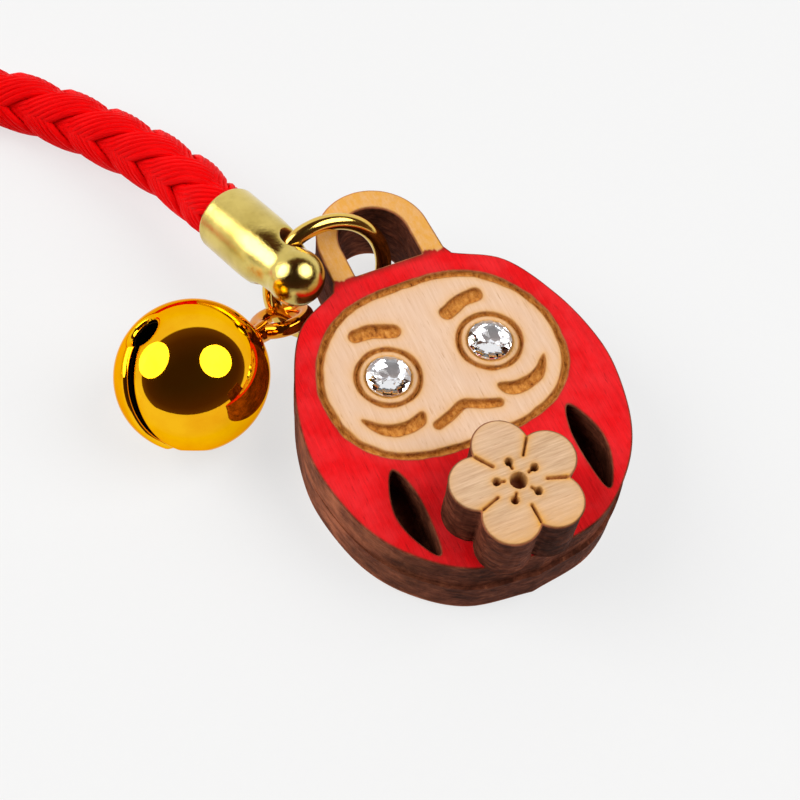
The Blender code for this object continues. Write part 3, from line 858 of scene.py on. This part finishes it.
def cap(name, place, look, inside):
    """The cord's end: a turned cup whose solid tip is drilled across. Local Z runs from mouth to tip."""
    tip = arc(0, TIP_CENTRE_Z, TIP_RADIUS, 28, 0, 90)[1:]
    outer = smooth_through(END_PROFILE, 9) + tip
    profile = np.array(END_BORE_PROFILE + outer)
    profile[-1] = (0, TIP_CENTRE_Z + TIP_RADIUS)
    along = np.concatenate([[0], np.cumsum(np.linalg.norm(np.diff(profile, axis=0), axis=1))])
    us = np.linspace(0, 2 * math.pi, 161) * END_RADIUS
    vs = np.linspace(0, along[-1], 210)

    def surface(u, v):
        turn = u / END_RADIUS
        radius = np.interp(v, along, profile[:, 0])
        return radius * np.cos(turn), radius * np.sin(turn), np.interp(v, along, profile[:, 1])

    def hole(y, z):
        return np.hypot(y, z - HOLE_FROM_MOUTH) - CROSS_RADIUS

    grid = np.meshgrid(us, vs, indexing="ij")
    _, gy, gz = surface(*grid)
    u, v, faces = cut_grid(us, vs, np.where(grid[1] > OUTSIDE_FROM, -hole(gy, gz), -1.0))
    x, y, z = surface(u, v)
    lip = 0.14 * (1 - np.clip(np.where(v > OUTSIDE_FROM, hole(y, z), 1) / 0.3, 0, 1)) ** 2
    shrink = 1 - lip / np.maximum(np.hypot(x, y), 0.5)
    points = np.stack([x * shrink, y, z], 1)

    def bore(ring):
        base = points[ring]
        for t in (0.06, 0.2, 0.5, 1.0):
            yield np.stack([base[:, 0] * (1 - t), base[:, 1], base[:, 2]], 1)

    count = len(faces)
    points, sides = grown_open(points, faces, bore, hole)
    obj = new_object(name, to_part(points, place), faces + sides, look)
    obj.data.materials.append(inside)
    for polygon in obj.data.polygons[count:]:
        polygon.material_index = 1
    weld(obj)
    return obj


def grown_open(points, faces, rows, hole):
    """As grown, but only from the rim of the cross hole and not along the grid's own seam."""
    rim = [
        (a, b) for a, b in rim_of(faces)
        if abs(hole(points[a][1], points[a][2])) < 0.05 and abs(hole(points[b][1], points[b][2])) < 0.05
    ]
    ring = sorted({a for edge in rim for a in edge})
    place = {a: i for i, a in enumerate(ring)}
    last = {a: a for a in ring}
    made, walls, count = [points], [], len(points)
    for row in rows(np.array(ring)):
        made.append(row)
        new = {a: count + i for a, i in place.items()}
        walls += [[last[b], last[a], new[a], new[b]] for a, b in rim]
        last = new
        count += len(ring)
    return np.concatenate(made), walls


def weld(obj):
    bm = bmesh.new()
    bm.from_mesh(obj.data)
    bmesh.ops.remove_doubles(bm, verts=bm.verts, dist=1e-6)
    bmesh.ops.recalc_face_normals(bm, faces=bm.faces)
    bm.to_mesh(obj.data)
    bm.free()


def add_caps():
    look = metal_look("cord_end_brass", (0.74, 0.57, 0.16), (0.46, 0.33, 0.06), 0.085, 0.9)
    # The cross hole's walls are a darker brown: painted shade inside the hole, on rougher drilled metal.
    inside = metal_look("drilled_brass_painted_shade", (0.42, 0.17, 0.07), (0.26, 0.10, 0.04), 0.38, 0.3)
    way = Vector(TIP_WAY).normalized()
    mouth = Vector(HOLE_AT) - way * HOLE_FROM_MOUTH
    near = cap("cord_end_cap", frame_matrix(mouth, way, HOLE_WAY), look, inside)
    far_at = (CORD_ROUTE[-1][0], CORD_ROUTE[-1][1], END_RADIUS + 0.02)
    far = cap("far_cord_end_cap", frame_matrix(far_at, FAR_WAY, (0, 0, 1)), look, inside)
    for piece, node in ((near, "cord_end"), (far, "far_cord_end")):
        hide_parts(node)
        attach(piece, "strap")
    return far


def slot_distance(lon, lat):
    """Distance on the bell's surface to its slot, negative in the slot. Angles are from the slot's middle."""
    turn = math.radians(SLOT_HALF_DEG)
    y = BELL_RADIUS * np.sin(lat)
    slot = np.maximum(np.abs(y) - SLOT_WIDTH / 2, (np.abs(lon) - turn) * BELL_RADIUS)
    flat = np.cos(lat) * np.cos(np.abs(lon) - turn)
    hole = BELL_RADIUS * np.arccos(np.clip(flat, -1, 1)) - SLOT_HOLE_RADIUS
    return np.minimum(slot, hole)


def bell_sheet(radius, step):
    us = np.linspace(-math.pi, math.pi, round(2 * math.pi / step)) * BELL_RADIUS
    vs = np.linspace(-math.pi / 2, math.pi / 2, round(math.pi / step)) * BELL_RADIUS
    grid = np.meshgrid(us, vs, indexing="ij")
    u, v, faces = cut_grid(us, vs, -slot_distance(grid[0] / BELL_RADIUS, grid[1] / BELL_RADIUS))
    lon, lat = u / BELL_RADIUS, v / BELL_RADIUS
    away = np.maximum(slot_distance(lon, lat), 0)
    ways = np.stack([np.cos(lat) * np.sin(lon), np.sin(lat), -np.cos(lat) * np.cos(lon)], 1)
    curl = 0.16 * (1 - np.clip(away / 0.4, 0, 1)) ** 2
    return ways * (radius - curl)[:, None], faces, away


def add_bell():
    gold = metal_look("bell_gold", (1.0, 0.52, 0.010), (0.88, 0.36, 0.004), 0.035, 0.035, (1.0, 0.62, 0.2, 1))
    axis = (Vector(EYE_AT) - Vector(BELL_CENTRE)).normalized()
    place = frame_matrix(BELL_CENTRE, axis, SLOT_END_WAY)
    points, faces, away = bell_sheet(BELL_RADIUS, math.radians(1.0))
    rim = [(a, b) for a, b in rim_of(faces) if away[a] < 0.02 and away[b] < 0.02]
    ring = sorted({a for edge in rim for a in edge})
    inner = {a: len(points) + i for i, a in enumerate(ring)}
    lip = points[ring] * ((BELL_RADIUS - BELL_WALL) / np.linalg.norm(points[ring], axis=1))[:, None]
    faces += [[b, a, inner[a], inner[b]] for a, b in rim]
    lining, lining_faces, _ = bell_sheet(BELL_RADIUS - BELL_WALL + 0.02, math.radians(3.0))
    start = len(points) + len(lip)
    faces += [[i + start for i in face] for face in lining_faces]
    every = np.concatenate([points, lip, lining]) * (1, 1, BELL_STRETCH)
    shell = new_object("bell_shell_gold", to_part(every, place), faces, gold, merge=0.001, sharp_deg=55)
    # The lining is coloured near black: painted shade inside the bell.
    dark = metal_look("bell_inside_painted_shade", (0.030, 0.014, 0.006), (0.012, 0.006, 0.003), 0.6, 0.2)
    shell.data.materials.append(dark)
    inside = (BELL_RADIUS - BELL_WALL + 0.1) * MM
    back = place.inverted()
    for polygon in shell.data.polygons:
        at = back @ polygon.center
        at.z /= BELL_STRETCH
        polygon.material_index = int(at.length < inside)
    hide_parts("bell_shell")
    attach(shell, "bell")

    reach = (Vector(EYE_AT) - Vector(BELL_CENTRE)).length
    turns = np.radians(np.arange(120) * 3)
    radial = np.stack([np.cos(turns), np.sin(turns), 0 * turns], 1)
    wire, wire_faces, _ = tube(radial * EYE_MAJOR, radial, EYE_WIRE, 28, True)
    foot, top = BELL_RADIUS * BELL_STRETCH + 0.05, reach - EYE_MAJOR + 0.2
    profile = smooth_through([
        (1.5, foot - 0.02), (1.46, foot + 0.14), (1.25, foot + 0.36), (0.86, foot + 0.66), (0.76, foot + 1.0),
        (0.80, top),
    ], 6)
    sides = 48
    angles = np.radians(np.arange(sides) * 360 / sides)
    neck = [[(r * math.cos(a), r * math.sin(a), z) for a in angles] for r, z in profile]
    neck = np.array(neck).reshape(-1, 3)
    neck_faces = rows_of_faces(len(profile) - 1, sides, len(profile))
    neck_faces += [list(range(sides)), [len(neck) - sides + k for k in range(sides)]]
    wire = to_part(wire, frame_matrix(EYE_AT, EYE_WAY, axis))
    joined = np.concatenate([wire, to_part(neck, place)])
    all_faces = wire_faces + [[i + len(wire) for i in face] for face in neck_faces]
    eye_gold = metal_look("bell_eye_gold", (0.80, 0.30, 0.018), (0.60, 0.16, 0.010), 0.07, 0.08)
    eye = new_object("bell_eye_gold", joined, all_faces, eye_gold, sharp_deg=60)
    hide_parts("bell_eye")
    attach(eye, "bell")

    steel = metal_look("pellet_steel", (0.55, 0.54, 0.53), (0.35, 0.30, 0.27), 0.3, 0.4)
    drop = BELL_RADIUS - BELL_WALL - PELLET_RADIUS - 0.15
    bm = bmesh.new()
    bmesh.ops.create_icosphere(bm, subdivisions=4, radius=PELLET_RADIUS)
    ball = np.array([v.co[:] for v in bm.verts])
    ball_faces = [[v.index for v in face.verts] for face in bm.faces]
    bm.free()
    ball *= 1 - 0.015 * bumps(*(ball.T * 1.7 + 9))[:, None]
    at = Matrix.Translation(placed((BELL_CENTRE[0], BELL_CENTRE[1], BELL_CENTRE[2] - drop)))
    pellet = new_object("bell_pellet_steel", to_part(ball, at), ball_faces, steel)
    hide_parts("bell_pellet")
    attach(pellet, "pellet")


# Braided cord ---------------------------------------------------------------------------------

STRANDS_EACH_WAY = 4
YARNS = 6
BRAID_PITCH = 18.6
BRAID_RADIUS = 1.84
BRAID_WAVE = 0.33
YARN_RADIUS = 0.30
YARN_APART = 0.38
BRAID_TURN = math.radians(-16)


def cord_path():
    way = Vector(TIP_WAY).normalized()
    mouth = Vector(HOLE_AT) - way * HOLE_FROM_MOUTH
    start = mouth + way * (END_BORE_DEPTH - 0.3)
    finish = Vector(CORD_ROUTE[-1]) + Vector(FAR_WAY) * (END_BORE_DEPTH - 0.3)
    route = [tuple(start), tuple(mouth), tuple(mouth - way * 3.0), *CORD_ROUTE, tuple(finish)]
    return np.array(smooth_through(route, 40)), mouth


def even(path, step):
    along = np.concatenate([[0], np.cumsum(np.linalg.norm(np.diff(path, axis=0), axis=1))])
    stops = np.linspace(0, along[-1], int(along[-1] / step) + 1)
    return np.stack([np.interp(stops, along, path[:, k]) for k in range(3)], 1), stops


def side_frames(path):
    """Two sideways directions along the path that turn as little as they can."""
    ways = np.gradient(path, axis=0)
    ways /= np.linalg.norm(ways, axis=1, keepdims=True)
    side = np.cross(ways[0], (0, 0, 1.0))
    sides = []
    for way in ways:
        side = side - way * side.dot(way)
        side = side / np.linalg.norm(side)
        sides.append(side)
    sides = np.array(sides)
    return sides, np.cross(ways, sides)


def add_cord(far_cap):
    fine, mouth = cord_path()
    path, along = even(fine, 0.16)
    side, up = side_frames(path)
    points, faces, uvs, count = [], [], [], 0

    def add(centre, radial, radius, sides, shift):
        nonlocal count
        made, made_faces, made_uvs = tube(centre, radial, radius, sides)
        points.append(made)
        uvs.append(made_uvs + (shift, 0))
        faces.extend([[i + count for i in face] for face in made_faces])
        count += len(made)

    # The braid is squeezed where it goes into the caps.
    from_end = np.minimum(along, along[-1] - along)
    squeeze = 0.86 + 0.14 * step_up(from_end, END_BORE_DEPTH - 0.2, END_BORE_DEPTH + 1.6)

    add(path, side, (BRAID_RADIUS - 0.42) * squeeze, 12, 0)
    for hand in (1, -1):
        for k in range(STRANDS_EACH_WAY):
            turn = hand * 2 * math.pi * along / BRAID_PITCH + 2 * math.pi * k / STRANDS_EACH_WAY
            wave = np.cos(2 * turn)
            wave = np.sign(wave) * np.abs(wave) ** 0.7
            radius = BRAID_RADIUS + hand * BRAID_WAVE * wave
            angle = (turn + BRAID_TURN)[:, None]
            radial = np.cos(angle) * side + np.sin(angle) * up
            centre = path + radial * (radius * squeeze)[:, None]
            ways = np.gradient(centre, axis=0)
            ways /= np.linalg.norm(ways, axis=1, keepdims=True)
            across = np.cross(radial, ways)
            for j in range(YARNS):
                offset = (j - (YARNS - 1) / 2) * YARN_APART
                arch = -0.24 * offset ** 2
                shift = 31 * (k + 5 * j + 40 * (hand + 1))
                add(centre + across * offset + radial * arch, radial, YARN_RADIUS * squeeze, 9, shift)
    every = np.concatenate(points)
    every[:, 2] = np.maximum(every[:, 2], 0.01)
    uvs = np.concatenate(uvs)
    cord = new_object("braided_cord", to_part(every, HERE), faces, cord_look(), uvs=uvs)
    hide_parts("cord")
    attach(cord, "strap")
    placed(mouth)
    to_part(path[::8], HERE)


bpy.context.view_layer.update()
add_camera()
far_cap = add_caps()
add_cord(far_cap)
add_stage()
add_wood()
add_crystals()
add_ring()
add_bell()
